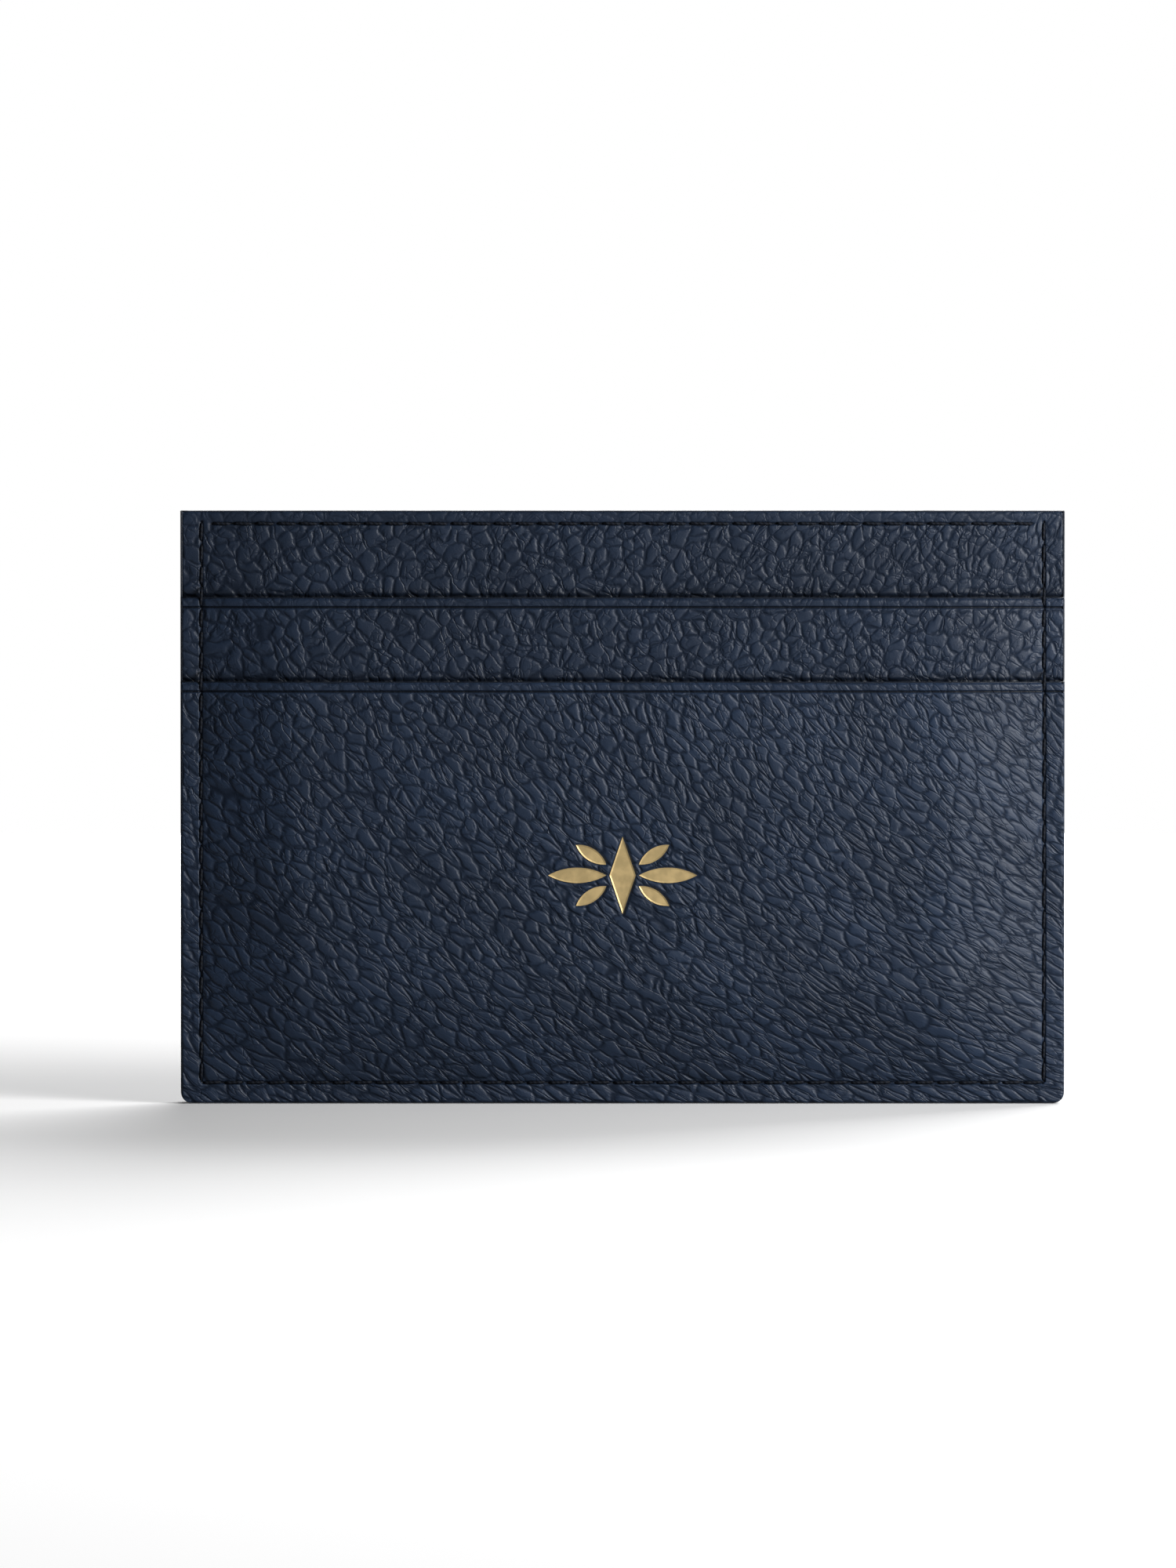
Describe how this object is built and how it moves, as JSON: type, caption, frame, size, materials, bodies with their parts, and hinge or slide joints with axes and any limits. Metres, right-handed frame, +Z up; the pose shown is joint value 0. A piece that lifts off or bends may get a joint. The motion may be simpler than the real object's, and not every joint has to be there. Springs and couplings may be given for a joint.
{
  "type": "flat card holder",
  "caption": "Flat leather card holder with stepped card slots on both faces, an open-topped centre pocket, sewn seams and painted edges.",
  "frame": {"origin": "middle of the bottom edge, half way through the thickness", "axes": "+X to the right along the width as seen from the front, +Y to the back through the thickness, +Z up to the open edge; the stamped front face looks towards -Y"},
  "size_m": [0.1, 0.0082, 0.067],
  "materials": {
    "navy_leather": "pebbled full-grain leather, semi-matt",
    "lining_cloth": "fine plain weave",
    "filler_leather": "split leather, matt",
    "edge_paint": "satin acrylic edge paint",
    "navy_thread": "waxed polyester thread",
    "gold_foil": "hot-stamped metallic foil, satin"
  },
  "bodies": {
    "root": {"front_body_panel": "navy_leather", "front_body_lining": "lining_cloth", "front_upper_pocket_strip": "navy_leather", "front_upper_pocket_liner": "lining_cloth", "front_seam_filler": "filler_leather", "front_lower_pocket_panel": "navy_leather", "front_body_edge_paint": "edge_paint", "front_upper_edge_paint": "edge_paint", "front_lower_edge_paint": "edge_paint", "front_top_stitching": "navy_thread", "front_liner_stitching": "navy_thread", "front_seam_stitching": "navy_thread", "front_foil_ornament": "gold_foil", "back_body_panel": "navy_leather", "back_body_lining": "lining_cloth", "back_upper_pocket_strip": "navy_leather", "back_upper_pocket_liner": "lining_cloth", "back_seam_filler": "filler_leather", "back_lower_pocket_panel": "navy_leather", "back_body_edge_paint": "edge_paint", "back_upper_edge_paint": "edge_paint", "back_lower_edge_paint": "edge_paint", "back_top_stitching": "navy_thread", "back_liner_stitching": "navy_thread", "back_seam_stitching": "navy_thread", "perimeter_edge_paint": "edge_paint"}
  },
  "joints": []
}
